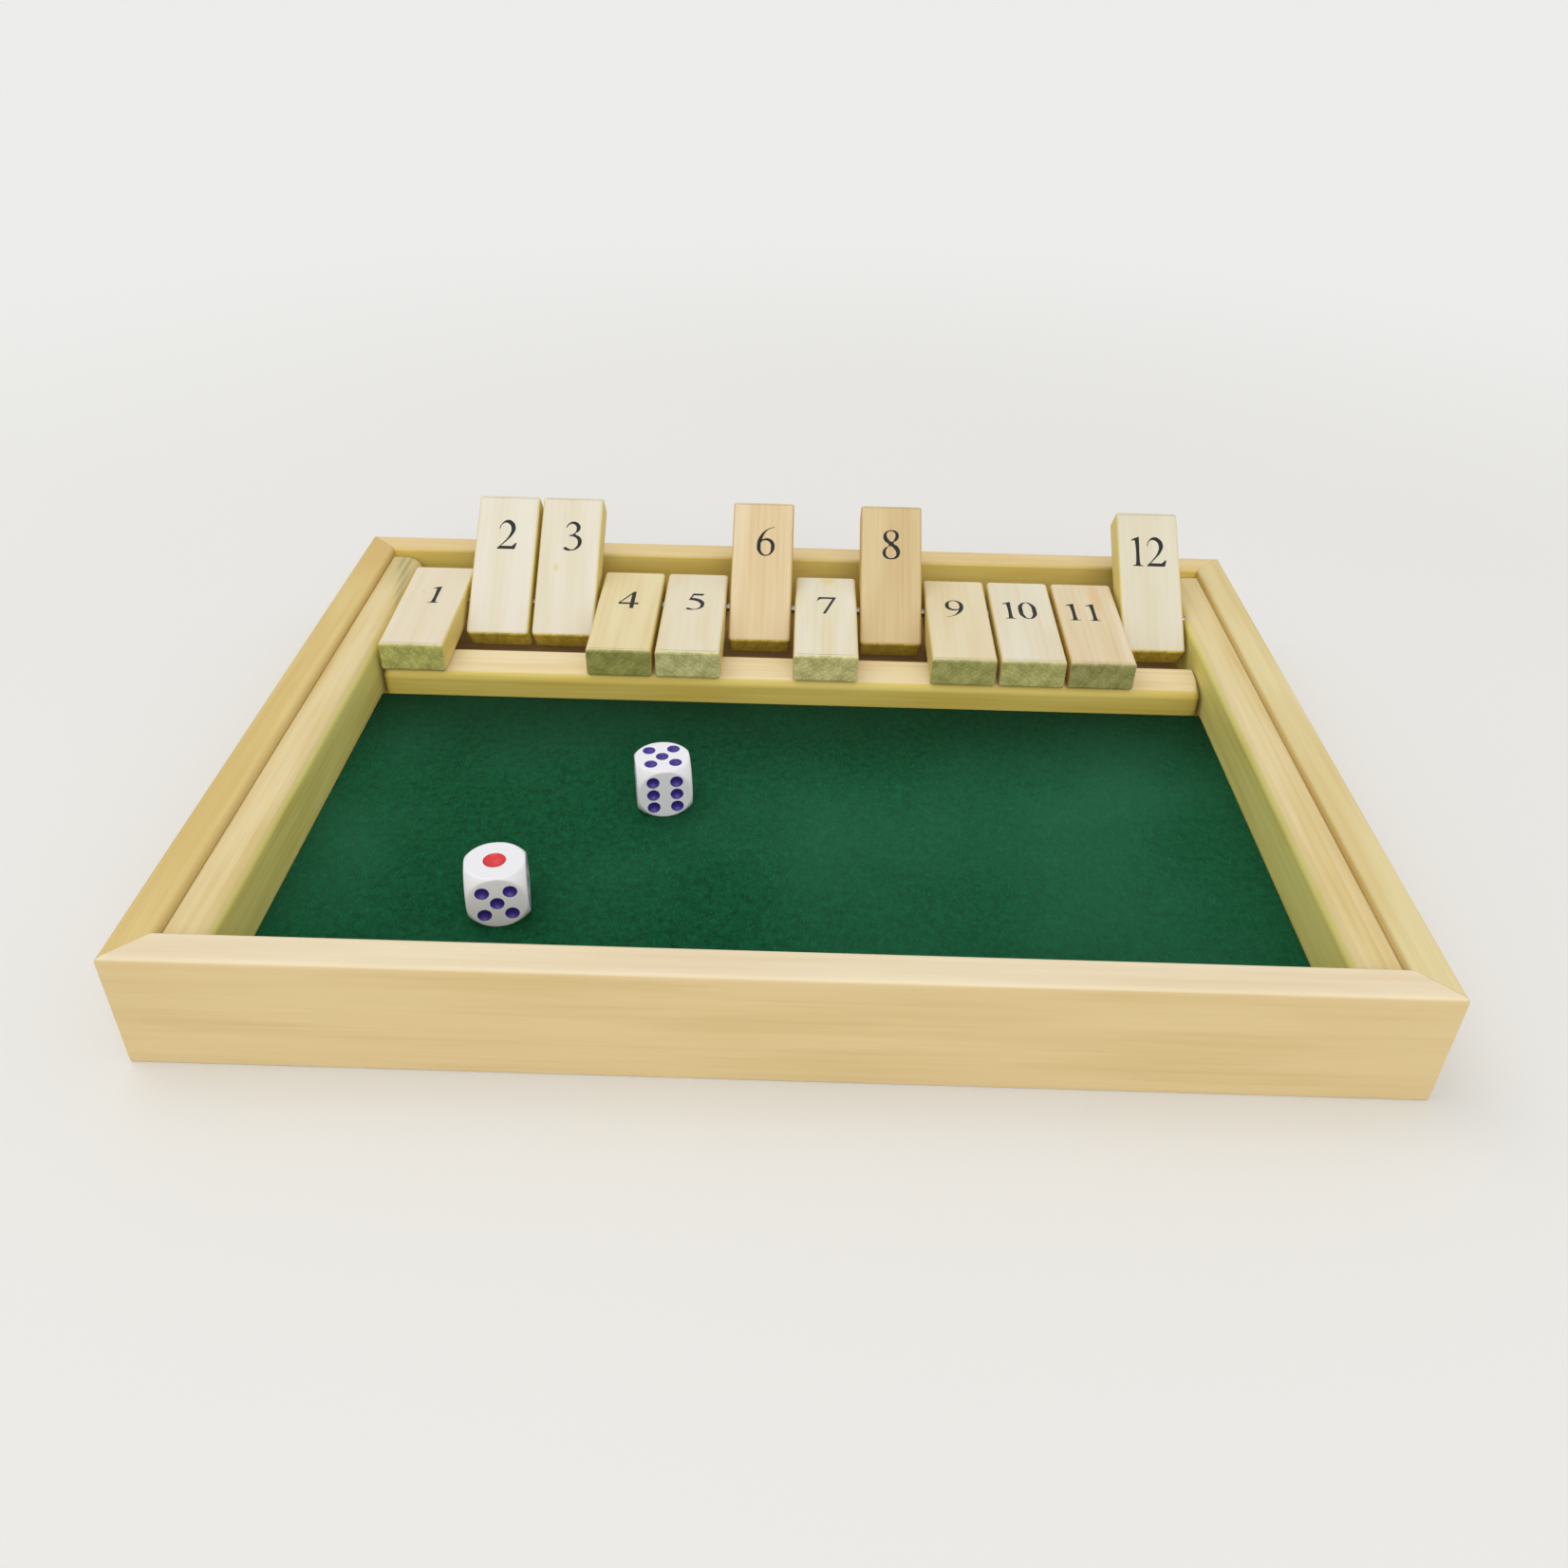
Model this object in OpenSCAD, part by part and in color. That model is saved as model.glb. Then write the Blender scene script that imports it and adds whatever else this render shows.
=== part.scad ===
// Twelve-number flip-tile dice game in a wooden tray.
// Millimetres. X runs along the row of tiles, +Y towards the back, +Z up.
// The origin is at the middle of the tray's footprint, on the table.

/* [Tray frame] */
// Outside width of the tray, side to side
tray_w = 355; // [300:1:430]
// Outside depth of the tray, front to back
tray_d = 263; // [215:1:330]
// Thickness of the four frame walls
wall_t = 11.5; // [9:0.5:15]
// Height of the frame walls
wall_h = 38; // [34:0.5:50]
// Rounding of the walls' top edges
wall_edge_r = 1.5; // [0.5:0.25:3]

/* [Base and felt] */
// Height of the felt's top above the table
felt_z = 15.5; // [12:0.5:18]
// Thickness of the felt
felt_t = 1; // [0.6:0.1:2]
// Thickness of the base board
board_t = 4; // [3:0.5:6]
// Depth of the groove that holds the base board
groove_d = 5; // [3:0.5:7]

/* [Side strips and rod] */
// Width of the side strips that carry the rod
strip_w = 13; // [11:0.5:18]
// Height of the side strips above the felt
strip_h = 20; // [19:0.5:22]
// Rounding of the strips' inner top edge and back end
strip_edge_r = 2; // [1:0.25:3]
// Diameter of the steel rod
rod_dia = 3; // [2.5:0.25:4]
// Height of the rod's axis above the felt
rod_h = 17.2; // [17:0.1:17.8]
// Distance of the rod's axis behind the ledge's front face
rod_back = 43.5; // [42:0.5:48]
// Depth of the rod's blind hole in each strip
rod_seat = 8; // [5:0.5:10]

/* [Ledge] */
// Distance of the ledge's front face from the back wall
ledge_front = 78.5; // [76:0.5:95]
// Depth of the ledge, front to back
ledge_d = 17.6; // [14:0.1:22]
// Height of the ledge's top above the felt
ledge_h = 9.5; // [8:0.25:10.5]
// Rounding of the ledge's front top edge and ends
ledge_edge_r = 3; // [1:0.25:4]

/* [Tiles] */
// Number of tiles in the row
tile_count = 12; // [12:1:12]
// Length of a tile
tile_len = 60; // [50:0.5:72]
// Thickness of a tile
tile_t = 11.5; // [8:0.25:13]
// Distance of the rod's hole from the tile's hinge end
tile_pivot = 16.4; // [13:0.1:16.8]
// Gap between neighbouring tiles
tile_gap = 1.4; // [0.8:0.1:2.5]
// Gap between an end tile and its strip
end_gap = 1.3; // [0.8:0.1:3]
// Rounding of a tile's long edges
tile_edge_r = 1.5; // [0.5:0.25:2.5]
// Rounding of a tile's ends, seen from the side
tile_end_r = 0.8; // [0.5:0.1:2.5]
// Angle that a raised tile leans back from upright
lean = 52; // [45:1:65]
// Tiles that stand raised
raised = [2, 3, 6, 8, 12];

/* [Dice] */
// Side of a die
die_s = 18; // [15:0.5:20]
// Diameter of the ball that rounds off a die's corners and edges
die_ball = 25.2; // [24:0.1:30]
// Diameter of a pip
pip_dia = 4.2; // [3:0.1:4.6]
// Diameter of the single pip
ace_dia = 6.8; // [4:0.1:8]
// Distance of a corner pip from the face's middle, each way
pip_out = 4; // [3:0.1:4.5]
// The same for the corner pips of a six, across and along its columns
six_out = [3.8, 4.8];
// Left die's middle, counted from the left strip
die_1_x = 68.7; // [12:0.1:75]
// Left die's middle, counted from the front wall
die_1_y = 39.9; // [12:0.1:60]
// Left die's turn on the felt, in degrees
die_1_turn = 10.8; // [0:0.1:90]
// Right die's middle, counted from the left strip
die_2_x = 112.1; // [100:0.1:220]
// Right die's middle, counted from the front wall
die_2_y = 96.8; // [12:0.1:100]
// Right die's turn on the felt, in degrees
die_2_turn = 10.1; // [0:0.1:90]

/* [Fits] */
// Running clearance of the rod in its holes, on the radius
rod_fit = 0.05; // [0.02:0.01:0.1]
// Clearance round the base board, the felt and the strips' ends
fit = 0.2; // [0.1:0.05:0.4]
// Gap of the ledge at each end
ledge_gap = 0.9; // [0.3:0.1:2]
// Gap between a lowered tile and the ledge
rest_gap = 0.2; // [0.1:0.05:0.3]

/* [Hidden] */

// inside of the frame, and the row of tiles between the strips
inner_w = tray_w - 2 * wall_t;
inner_d = tray_d - 2 * wall_t;
row_w = inner_w - 2 * strip_w;
tile_w = (row_w - 2 * end_gap - (tile_count - 1) * tile_gap) / tile_count;
tile_pitch = tile_w + tile_gap;

// heights above the table
board_top = felt_z - felt_t;
ledge_top = felt_z + ledge_h;
rod_z = felt_z + rod_h;

// places front to back
ledge_y = inner_d / 2 - ledge_front;
rod_y = ledge_y + rod_back;

// a lowered tile dips towards the front until it lies on the ledge
tile_far = tile_len - tile_pivot;
drop = rod_h - ledge_h - rest_gap;
flat_reach = min(tile_far - tile_end_r, rod_back - ledge_edge_r);
dip = asin(drop / norm([flat_reach, tile_t / 2])) - atan(tile_t / 2 / flat_reach);
// turn of a lowered tile about the rod, counted from a raised one that leans back
down_turn = 90 + dip;

wood = [0.90, 0.83, 0.66];
wood_warm = [0.86, 0.75, 0.55];
big = 1000;

// points of a quarter circle about c, from angle a
function arc(c, r, a, n = 5) = [for (i = [0:n]) c + r * [cos(a + 90 * i / n), sin(a + 90 * i / n)]];

// points of a rectangle from corner p, w by h, with a radius for each corner,
// from the low corner round through the right one
function round_box(p, w, h, r) = concat(
    arc(p + [r[0], r[0]], r[0], 180),
    arc(p + [w - r[1], r[1]], r[1], 270),
    arc(p + [w - r[2], h - r[2]], r[2], 0),
    arc(p + [r[3], h - r[3]], r[3], 90));

// runs a Y-Z outline along X, from -l/2 to l/2
module along_x(l) {
    rotate([90, 0, 90]) translate([0, 0, -l / 2]) linear_extrude(l) children();
}

// one frame wall of length l, its outer face on the XZ plane, with mitred ends
// and the groove for the base board
module wall(l) {
    foot_r = wall_edge_r / 2;
    difference() {
        intersection() {
            along_x(l) polygon(round_box([0, 0], wall_t, wall_h,
                                         [foot_r, foot_r, wall_edge_r, wall_edge_r]));
            linear_extrude(wall_h) polygon([[-l / 2, 0], [l / 2, 0],
                                            [l / 2 - wall_t, wall_t], [-l / 2 + wall_t, wall_t]]);
        }
        translate([-l / 2, wall_t - groove_d, board_top - board_t])
            cube([l, groove_d + 1, board_t + fit / 2]);
    }
}

module front_wall() {
    color(wood_warm) translate([0, -tray_d / 2, 0]) wall(tray_w);
}

module back_wall() {
    color(wood_warm) rotate(180) translate([0, -tray_d / 2, 0]) wall(tray_w);
}

module left_wall() {
    color(wood_warm) rotate(-90) translate([0, -tray_w / 2, 0]) wall(tray_d);
}

module right_wall() {
    color(wood_warm) rotate(90) translate([0, -tray_w / 2, 0]) wall(tray_d);
}

// slides in the walls' grooves
module base_board() {
    w = inner_w + 2 * (groove_d - fit);
    d = inner_d + 2 * (groove_d - fit);
    color(wood) translate([-w / 2, -d / 2, board_top - board_t]) cube([w, d, board_t]);
}

// covers the rolling area in front of the ledge
module felt_lining() {
    w = row_w - 2 * fit;
    d = inner_d - ledge_front - 2 * fit;
    color([0.10, 0.30, 0.20]) translate([-w / 2, -inner_d / 2 + fit, board_top]) cube([w, d, felt_t]);
}

// strip on the right, with the rod's blind hole in its inner face
module rod_strip() {
    top = felt_z + strip_h - board_top;
    len = inner_d - 2 * fit;
    difference() {
        intersection() {
            translate([row_w / 2, -len / 2, board_top]) rotate([90, 0, 0]) mirror([0, 0, 1])
                linear_extrude(len)
                    polygon(round_box([0, 0], strip_w, top, [0.4, 0.4, 0.8, strip_edge_r]));
            translate([row_w / 2 + strip_w / 2, 0, 0]) along_x(strip_w + 2)
                polygon(round_box([-len / 2, board_top], len, top, [0.4, 0.4, strip_edge_r, 0.8]));
        }
        translate([row_w / 2 - 1, rod_y, rod_z]) rotate([0, 90, 0])
            cylinder(h = rod_seat + 1, d = rod_dia + 2 * rod_fit, $fn = 48);
    }
}

module right_rod_strip() { color(wood) rod_strip(); }

module left_rod_strip() { color(wood) mirror([1, 0, 0]) rod_strip(); }

// board that the lowered tiles' far ends lie on
module tile_ledge() {
    l = row_w - 2 * ledge_gap;
    h = ledge_top - board_top;
    color(wood) intersection() {
        along_x(l) polygon(round_box([ledge_y, board_top], ledge_d, h,
                                     [0.5, 0.5, 0.8, ledge_edge_r]));
        linear_extrude(big) polygon(round_box([-l / 2, ledge_y], l, ledge_d,
                                              [ledge_edge_r, ledge_edge_r, 0.8, 0.8]));
    }
}

module tile_rod() {
    l = row_w + 2 * (rod_seat - fit);
    color([0.75, 0.76, 0.78]) translate([-l / 2, rod_y, rod_z]) rotate([0, 90, 0])
        cylinder(h = l, d = rod_dia, $fn = 48);
}

// a tile upright on the rod's axis, its hinge end down
module upright_tile() {
    t = tile_t;
    difference() {
        intersection() {
            along_x(tile_w) polygon(round_box([-t / 2, -tile_pivot], t, tile_len,
                [tile_end_r, tile_end_r, tile_end_r, tile_end_r]));
            translate([0, 0, -tile_pivot]) linear_extrude(tile_len)
                polygon(round_box([-tile_w / 2, -t / 2], tile_w, t,
                    [tile_edge_r, tile_edge_r, tile_edge_r, tile_edge_r]));
        }
        rotate([0, 90, 0])
            cylinder(h = tile_w + 2, d = rod_dia + 2 * rod_fit, center = true, $fn = 48);
    }
}

// tile n in its place, leaning back if it is raised and lowered on the ledge if not
module tile(n) {
    up = len(search(n, raised)) > 0;
    color(n == 6 || n == 8 || n == 11 ? wood_warm : wood)
        translate([(n - (tile_count + 1) / 2) * tile_pitch, rod_y, rod_z])
            rotate([up ? -lean : down_turn, 0, 0]) upright_tile();
}

// one face's pips on the top of a die that is centred on the origin
module pips(places, dia) {
    bowl = 0.62 * dia;
    lift = sqrt(bowl * bowl - dia * dia / 4);
    for (p = places) translate([p[0], p[1], die_s / 2 + lift]) sphere(r = bowl, $fn = 32);
}

// a die with one up and five to the front
module die() {
    s = pip_out;
    three = [[-s, s], [0, 0], [s, -s]];
    four = [[-s, -s], [-s, s], [s, -s], [s, s]];
    five = concat(four, [[0, 0]]);
    six = [for (x = [-1, 1], y = [-1, 0, 1]) [x * six_out[0], y * six_out[1]]];
    difference() {
        intersection() {
            cube(die_s, center = true);
            sphere(d = die_ball, $fn = 96);
        }
        pips([[0, 0]], ace_dia);
        rotate([90, 0, 0]) pips(five, pip_dia);
        rotate([-90, 0, 0]) pips([[-s, s], [s, -s]], pip_dia);
        rotate([0, 90, 0]) pips(three, pip_dia);
        rotate([0, -90, 0]) pips(four, pip_dia);
        rotate([180, 0, 0]) pips(six, pip_dia);
    }
}

// puts a die on the felt, x from the left strip and y from the front wall
module die_at(x, y, turn) {
    translate([x - row_w / 2, y - inner_d / 2, felt_z + die_s / 2]) rotate(turn) children();
}

module die_1() { color("white") die_at(die_1_x, die_1_y, die_1_turn) die(); }

// five up and six to the front
module die_2() { color("white") die_at(die_2_x, die_2_y, die_2_turn) rotate([-90, 0, 0]) die(); }

front_wall();
back_wall();
left_wall();
right_wall();
base_board();
felt_lining();
left_rod_strip();
right_rod_strip();
tile_ledge();
tile_rod();
for (n = [1:tile_count]) tile(n);
die_1();
die_2();
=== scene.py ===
import math
import bpy
from mathutils import Matrix, Vector


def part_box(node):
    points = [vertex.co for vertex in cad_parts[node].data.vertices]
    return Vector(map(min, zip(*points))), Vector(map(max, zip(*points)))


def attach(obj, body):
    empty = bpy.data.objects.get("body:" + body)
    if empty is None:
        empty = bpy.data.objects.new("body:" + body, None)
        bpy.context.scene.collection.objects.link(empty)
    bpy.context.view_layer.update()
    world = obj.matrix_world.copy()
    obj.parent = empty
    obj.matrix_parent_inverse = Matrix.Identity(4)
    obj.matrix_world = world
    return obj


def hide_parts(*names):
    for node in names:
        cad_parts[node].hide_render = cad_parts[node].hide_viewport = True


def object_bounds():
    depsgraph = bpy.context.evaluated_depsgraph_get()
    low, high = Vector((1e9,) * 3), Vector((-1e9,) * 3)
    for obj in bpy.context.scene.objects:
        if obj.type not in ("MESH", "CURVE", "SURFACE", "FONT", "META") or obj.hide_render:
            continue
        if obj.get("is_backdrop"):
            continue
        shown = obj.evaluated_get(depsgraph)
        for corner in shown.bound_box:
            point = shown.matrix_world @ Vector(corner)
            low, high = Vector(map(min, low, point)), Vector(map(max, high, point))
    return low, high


# Flip-tile dice game in a pine tray. Metres; X along the row of tiles, Y to the back, Z up.

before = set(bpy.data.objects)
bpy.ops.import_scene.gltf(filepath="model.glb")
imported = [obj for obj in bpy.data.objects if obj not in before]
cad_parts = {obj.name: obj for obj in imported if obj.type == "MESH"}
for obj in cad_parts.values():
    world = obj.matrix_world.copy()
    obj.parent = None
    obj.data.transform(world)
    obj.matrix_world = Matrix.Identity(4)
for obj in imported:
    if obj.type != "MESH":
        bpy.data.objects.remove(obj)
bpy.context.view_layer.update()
mm = 0.001
near = 0.1 * mm  # how close to a face a corner or an edge counts as lying on it
weldGap = 0.002 * mm  # corners closer than this are one corner
print("frame loaded")


# helpers for modelling

def deselectAll():
    if bpy.context.mode != "OBJECT":
        bpy.ops.object.mode_set(mode="OBJECT")
    bpy.ops.object.select_all(action="DESELECT")


def makeActive(piece):
    deselectAll()
    piece.select_set(True)
    bpy.context.view_layer.objects.active = piece


# leaves the object at the origin, with its place in its mesh
def applyPlace(piece, name):
    makeActive(piece)
    bpy.ops.object.transform_apply(location=True, rotation=True, scale=True)
    piece.name = piece.data.name = name
    return piece


def addBlock(name, low, high):
    deselectAll()
    low, high = Vector(low), Vector(high)
    bpy.ops.mesh.primitive_cube_add(size=1, location=(low + high) / 2, scale=high - low)
    return applyPlace(bpy.context.object, name)


# leaves the piece in edit mode with the corners, edges or faces selected that pass the test
def pickParts(piece, kind, test):
    makeActive(piece)
    mesh = piece.data
    for group in (mesh.vertices, mesh.edges, mesh.polygons):
        group.foreach_set("select", [False] * len(group))
    if kind == "VERT":
        for corner in mesh.vertices:
            corner.select = test(corner.co)
    elif kind == "EDGE":
        for edge in mesh.edges:
            a, b = (mesh.vertices[i].co for i in edge.vertices)
            edge.select = test((a + b) / 2, (b - a).normalized())
    else:
        for face in mesh.polygons:
            face.select = test(face.center, face.normal)
    bpy.context.tool_settings.mesh_select_mode = (kind == "VERT", kind == "EDGE", kind == "FACE")
    bpy.ops.object.mode_set(mode="EDIT")


def roundEdges(piece, radius, segments, test):
    pickParts(piece, "EDGE", test)
    bpy.ops.mesh.bevel(offset=radius, segments=segments, profile=0.5, affect="EDGES")
    bpy.ops.object.mode_set(mode="OBJECT")


def moveCorners(piece, step, test):
    pickParts(piece, "VERT", test)
    bpy.ops.transform.translate(value=step)
    bpy.ops.object.mode_set(mode="OBJECT")


# cuts away, or keeps, what the tool covers; the tool then goes
def cutWith(piece, tool, operation="DIFFERENCE"):
    makeActive(piece)
    cut = piece.modifiers.new("cut", "BOOLEAN")
    cut.operation = operation
    cut.solver = "EXACT"
    cut.material_mode = "TRANSFER"
    cut.object = tool
    bpy.ops.object.modifier_apply(modifier=cut.name)
    bpy.data.objects.remove(tool, do_unlink=True)


# rounded edges shade smoothly while the flats stay flat
def shadeClean(piece, angle=40):
    makeActive(piece)
    bpy.ops.object.mode_set(mode="EDIT")
    bpy.ops.mesh.select_all(action="SELECT")
    bpy.ops.mesh.remove_doubles(threshold=weldGap)
    bpy.ops.mesh.normals_make_consistent(inside=False)
    bpy.ops.object.mode_set(mode="OBJECT")
    bpy.ops.object.shade_smooth_by_angle(angle=math.radians(angle))
    weigh = piece.modifiers.new("weigh", "WEIGHTED_NORMAL")
    weigh.keep_sharp = True
    bpy.ops.object.modifier_apply(modifier=weigh.name)


def duplicatePiece(piece, name):
    makeActive(piece)
    bpy.ops.object.duplicate(linked=False)
    twin = bpy.context.object
    twin.name = twin.data.name = name
    return twin


def dress(piece, material):
    piece.data.materials.clear()
    piece.data.materials.append(material)


# the piece stands for a node and moves with its body
def standFor(piece, node, body):
    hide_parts(node)
    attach(piece, body)


# helpers for materials

def hexColour(text):
    parts = [int(text[i:i + 2], 16) / 255 for i in (1, 3, 5)]
    linear = [p / 12.92 if p <= 0.04045 else ((p + 0.055) / 1.055) ** 2.4 for p in parts]
    return (*linear, 1)


# adds a node; an input that is a socket is linked, any other is set
def addNode(tree, kind, inputs=None, **settings):
    node = tree.nodes.new(kind)
    for key, value in settings.items():
        setattr(node, key, value)
    for key, value in (inputs or {}).items():
        if isinstance(value, bpy.types.NodeSocket):
            tree.links.new(value, node.inputs[key])
        else:
            node.inputs[key].default_value = value
    return node


def newMaterial(name):
    material = bpy.data.materials.new(name)
    material.use_nodes = True
    material.node_tree.nodes.clear()
    return material, material.node_tree


# whole scale that makes a noise texture's features about this long
def noiseScale(size):
    return round(1 / size)


# scale that makes a wave texture repeat at this distance
def waveScale(distance):
    return 2 * math.pi / (20 * distance)


# turn that lays a board's own axes (across, through, along the grain) on the tray's
def boardTurn(across, through, along):
    return Matrix((across, through, along)).transposed().to_euler()


# what all the pine boards share; the shortening draws a pattern out along the grain
grainLook = {
    "band": 9.1 * mm, "fibre": 0.909 * mm, "planerMark": 2.4 * mm, "pore": 0.7143 * mm, "blotch": 3.85 * mm,
    "ringShortening": 0.12, "fibreShortening": 0.022, "relief": 0.08 * mm,
    "latewood": "#DDB57C", "darkFibre": "#DCC79A", "endMottle": "#C6C8B8", "endRing": "#C2BA96",
    "faintestRing": 0.25, "edgeBlend": 0.42, "endRingShare": 0.22, "planerShare": 0.10,
    "spotShare": 0.75, "spotWobble": 0.8, "spotCore": 0.7, "spotRim": 1.6,  # the last three are radii
}


# Planed pine under a satin coat: nearly plain pale faces with faint latewood lines along the board,
# soft fibre streaks and planer ripple, olive-yellow sawn edges whose tone is partly the wood's own and partly
# painted shade, and grey-green mottled end grain.
def planedPine(name, look):
    material, tree = newMaterial(name)
    where = addNode(tree, "ShaderNodeTexCoord")
    board = addNode(tree, "ShaderNodeMapping", {"Vector": where.outputs["Object"],
                    "Location": look["origin"], "Rotation": look["turn"]}, vector_type="TEXTURE").outputs[0]
    facing = addNode(tree, "ShaderNodeMapping", {"Vector": where.outputs["Normal"],
                     "Rotation": look["turn"]}, vector_type="TEXTURE").outputs[0]
    facingParts = addNode(tree, "ShaderNodeSeparateXYZ", {0: facing}).outputs

    # broad bands of tone
    bandSpace = addNode(tree, "ShaderNodeMapping", {"Vector": board, "Location": look["pith"],
                        "Scale": (1, 1, grainLook["ringShortening"])}).outputs[0]
    bands = addNode(tree, "ShaderNodeTexNoise", {"Vector": bandSpace, "Scale": noiseScale(grainLook["band"]),
                    "Detail": 2.0, "Roughness": 0.5}).outputs[0]
    bandShare = addNode(tree, "ShaderNodeMapRange", {"Value": bands, "From Min": 0.38,
                        "From Max": 0.64}).outputs[0]

    # growth rings round a pith outside the board; their lines fade in and out with the bands
    ringSpace = addNode(tree, "ShaderNodeMapping", {"Vector": board, "Location": look["pith"],
                        "Rotation": look["slope"], "Scale": (1, 1, grainLook["ringShortening"])}).outputs[0]
    rings = addNode(tree, "ShaderNodeTexWave", {"Vector": ringSpace, "Distortion": look["wander"],
                    "Scale": waveScale(look["ringGap"]), "Detail": 2.0, "Detail Scale": 0.3,
                    "Detail Roughness": 0.5}, wave_type="RINGS", rings_direction="Z", wave_profile="SAW")
    latewood = addNode(tree, "ShaderNodeValToRGB", {"Fac": rings.outputs["Fac"]})
    ramp = latewood.color_ramp
    ramp.elements[0].position, ramp.elements[1].position = 0.35, 0.88
    ramp.elements.new(1.0).color = (0.05, 0.05, 0.05, 1)
    latewood = latewood.outputs["Color"]
    lineShare = addNode(tree, "ShaderNodeMapRange", {"Value": bands, "From Min": 0.36, "From Max": 0.66,
                        "To Min": grainLook["faintestRing"] * look["ringDepth"],
                        "To Max": look["ringDepth"]}).outputs[0]

    # fibres, drawn coarser than real ones so that they show
    fibreSpace = addNode(tree, "ShaderNodeMapping", {"Vector": board, "Location": look["pith"],
                         "Scale": (1, 1, grainLook["fibreShortening"])}).outputs[0]
    fibres = addNode(tree, "ShaderNodeTexNoise", {"Vector": fibreSpace, "Detail": 3.0, "Roughness": 0.6,
                     "Scale": noiseScale(grainLook["fibre"])}).outputs[0]
    fibreShare = addNode(tree, "ShaderNodeMapRange", {"Value": fibres, "From Min": 0.35, "From Max": 0.72,
                         "To Max": look["streak"]}).outputs[0]

    # tone of the planed faces, of a wall's outer face and of the sawn edges, whose olive yellow is partly the
    # wood's own and partly painted shade
    faceTone = addNode(tree, "ShaderNodeMix", {0: bandShare, 6: hexColour(look["face"]),
                       7: hexColour(look["faceWarm"])}, data_type="RGBA").outputs[2]
    if "outer" in look:
        outerTone = addNode(tree, "ShaderNodeMix", {0: bandShare, 6: hexColour(look["outer"]),
                            7: hexColour(look["outerWarm"])}, data_type="RGBA").outputs[2]
        outward = addNode(tree, "ShaderNodeMath", {0: facingParts["Y"], 1: -0.3}, operation="LESS_THAN")
        faceTone = addNode(tree, "ShaderNodeMix", {0: outward.outputs[0], 6: faceTone, 7: outerTone},
                           data_type="RGBA").outputs[2]
    sawnEdgeAndShadeTone = addNode(tree, "ShaderNodeMix", {0: bandShare, 6: hexColour(look["edge"]),
                       7: hexColour(look["edgeWarm"])}, data_type="RGBA").outputs[2]
    across = addNode(tree, "ShaderNodeMath", {0: facingParts["X"]}, operation="ABSOLUTE").outputs[0]
    sawnEdgeAndShadeShare = addNode(tree, "ShaderNodeMapRange", {
        "Value": across, "From Min": look["edgeFrom"], "From Max": look["edgeFrom"] + grainLook["edgeBlend"]},
        interpolation_type="SMOOTHSTEP").outputs[0]
    tone = addNode(tree, "ShaderNodeMix", {0: sawnEdgeAndShadeShare, 6: faceTone, 7: sawnEdgeAndShadeTone},
                   data_type="RGBA").outputs[2]
    lateShare = addNode(tree, "ShaderNodeMath", {0: latewood, 1: lineShare},
                        operation="MULTIPLY").outputs[0]
    tone = addNode(tree, "ShaderNodeMix", {0: lateShare, 6: tone, 7: hexColour(grainLook["latewood"])},
                   data_type="RGBA", blend_type="MULTIPLY").outputs[2]
    tone = addNode(tree, "ShaderNodeMix", {0: fibreShare, 6: tone, 7: hexColour(grainLook["darkFibre"])},
                   data_type="RGBA", blend_type="MULTIPLY").outputs[2]

    # darker patches, streaks and resin spots, each a place in the board, a radius, a stretch along the grain
    # and a colour
    for place, radius, stretch, colour in look.get("spots", ()):
        spotSpace = addNode(tree, "ShaderNodeMapping", {"Vector": board, "Location": place,
                            "Scale": (1, 1, stretch)}, vector_type="TEXTURE").outputs[0]
        away = addNode(tree, "ShaderNodeVectorMath", {0: spotSpace}, operation="LENGTH").outputs["Value"]
        wobble = addNode(tree, "ShaderNodeMath", {0: fibres, 1: radius * grainLook["spotWobble"], 2: away},
                         operation="MULTIPLY_ADD").outputs[0]
        spotShare = addNode(tree, "ShaderNodeMapRange", {
            "Value": wobble, "From Min": radius * grainLook["spotCore"],
            "From Max": radius * grainLook["spotRim"], "To Min": grainLook["spotShare"], "To Max": 0.0},
            interpolation_type="SMOOTHSTEP").outputs[0]
        tone = addNode(tree, "ShaderNodeMix", {0: spotShare, 6: tone, 7: hexColour(colour)},
                       data_type="RGBA").outputs[2]

    # end grain: pores, blotches and ring arcs; the hinge end may have a colour of its own, which on the
    # raised tiles is painted light
    pores = addNode(tree, "ShaderNodeTexNoise", {"Vector": board, "Scale": noiseScale(grainLook["pore"]),
                    "Detail": 2.0, "Roughness": 0.7}).outputs[0]
    blotches = addNode(tree, "ShaderNodeTexNoise", {"Vector": board, "Scale": noiseScale(grainLook["blotch"]),
                       "Detail": 2.0}).outputs[0]
    mottle = addNode(tree, "ShaderNodeMath", {0: pores, 1: blotches}, operation="ADD").outputs[0]
    mottleShare = addNode(tree, "ShaderNodeMapRange", {"Value": mottle, "From Min": 0.80,
                          "From Max": 1.22}).outputs[0]
    atFoot = addNode(tree, "ShaderNodeMath", {0: facingParts["Z"], 1: 0.0}, operation="LESS_THAN").outputs[0]
    endTone = addNode(tree, "ShaderNodeMix", {0: atFoot, 6: hexColour(look["end"]),
                      7: hexColour(look.get("foot", look["end"]))}, data_type="RGBA").outputs[2]
    endTone = addNode(tree, "ShaderNodeMix", {
        0: mottleShare, 6: endTone, 7: hexColour(grainLook["endMottle"])},
        data_type="RGBA", blend_type="MULTIPLY").outputs[2]
    arcShare = addNode(tree, "ShaderNodeMath", {0: latewood, 1: grainLook["endRingShare"]},
                       operation="MULTIPLY").outputs[0]
    endTone = addNode(tree, "ShaderNodeMix", {0: arcShare, 6: endTone, 7: hexColour(grainLook["endRing"])},
                      data_type="RGBA", blend_type="MULTIPLY").outputs[2]
    along = addNode(tree, "ShaderNodeMath", {0: facingParts["Z"]}, operation="ABSOLUTE").outputs[0]
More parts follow.
